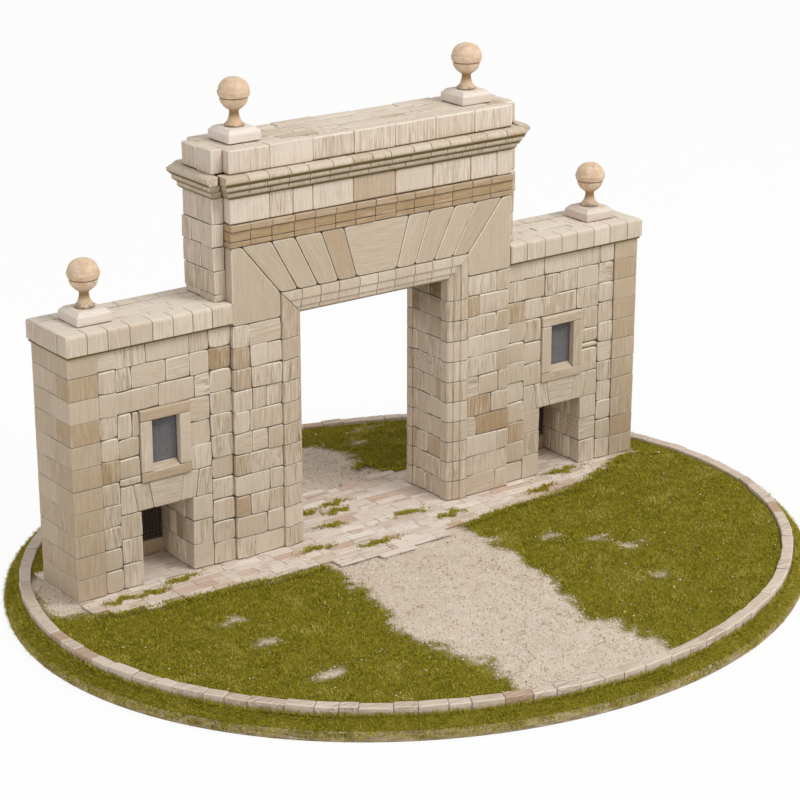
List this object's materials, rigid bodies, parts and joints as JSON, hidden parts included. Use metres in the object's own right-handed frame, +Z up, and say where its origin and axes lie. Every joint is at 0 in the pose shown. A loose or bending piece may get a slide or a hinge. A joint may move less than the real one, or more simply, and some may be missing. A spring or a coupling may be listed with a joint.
{
  "type": "scale model of a classical triumphal gate",
  "caption": "Ceramic-block model of a classical gateway: flat-arched gate with stepped cornice and ball finials, between lower wings with doorways and windows, on an oval stand.",
  "frame": {"origin": "centre of the oval stand's underside", "axes": "+X along the gate's front, to the right seen from the front; +Y from front to back; +Z up"},
  "size_m": [0.3765, 0.336, 0.2265],
  "materials": {
    "cream_stone": "unglazed cream to tan ceramic blocks with brown grain, matt",
    "brown_stone": "unglazed brown ceramic blocks, matt",
    "pale_tile": "pinkish white unglazed ceramic tile, matt",
    "tan_finial": "turned tan ceramic with worn grey spots, matt",
    "window_mesh": "blue-grey woven mesh",
    "dark_screen": "dark brown woven screen, matt",
    "turf_flock": "olive green flock",
    "stand_board": "fibre board with flocked edge"
  },
  "bodies": {
    "root": {"architrave": "brown_stone", "attic": "cream_stone", "attic_finials": "tan_finial", "attic_pedestals": "pale_tile", "attic_slab": "cream_stone", "back_flat_arch": "cream_stone", "back_kerb": "pale_tile", "base_board": "stand_board", "core_returns": "cream_stone", "cornice": "cream_stone", "frieze": "cream_stone", "front_flat_arch": "cream_stone", "front_kerb": "pale_tile", "gate_beam": "cream_stone", "gate_lintels": "cream_stone", "ground_bed": "turf_flock", "left_back_wall": "cream_stone", "left_coping": "cream_stone", "left_door_lintels": "cream_stone", "left_front_wall": "cream_stone", "left_gate_jambs": "cream_stone", "left_gate_pier": "cream_stone", "left_passage_ceiling": "cream_stone", "left_passage_screen": "dark_screen", "left_passage_step": "cream_stone", "left_passage_walls": "cream_stone", "left_pilaster": "cream_stone", "left_quoin_pier": "cream_stone", "left_window_frames": "cream_stone", "left_window_meshes": "window_mesh", "paving": "pale_tile", "right_back_wall": "cream_stone", "right_coping": "cream_stone", "right_door_lintels": "cream_stone", "right_front_wall": "cream_stone", "right_gate_jambs": "cream_stone", "right_gate_pier": "cream_stone", "right_passage_ceiling": "cream_stone", "right_passage_screen": "dark_screen", "right_passage_step": "cream_stone", "right_passage_walls": "cream_stone", "right_pilaster": "cream_stone", "right_quoin_pier": "cream_stone", "right_window_frames": "cream_stone", "right_window_meshes": "window_mesh", "verge": "turf_flock", "wing_finials": "tan_finial", "wing_pedestals": "pale_tile"}
  },
  "joints": []
}
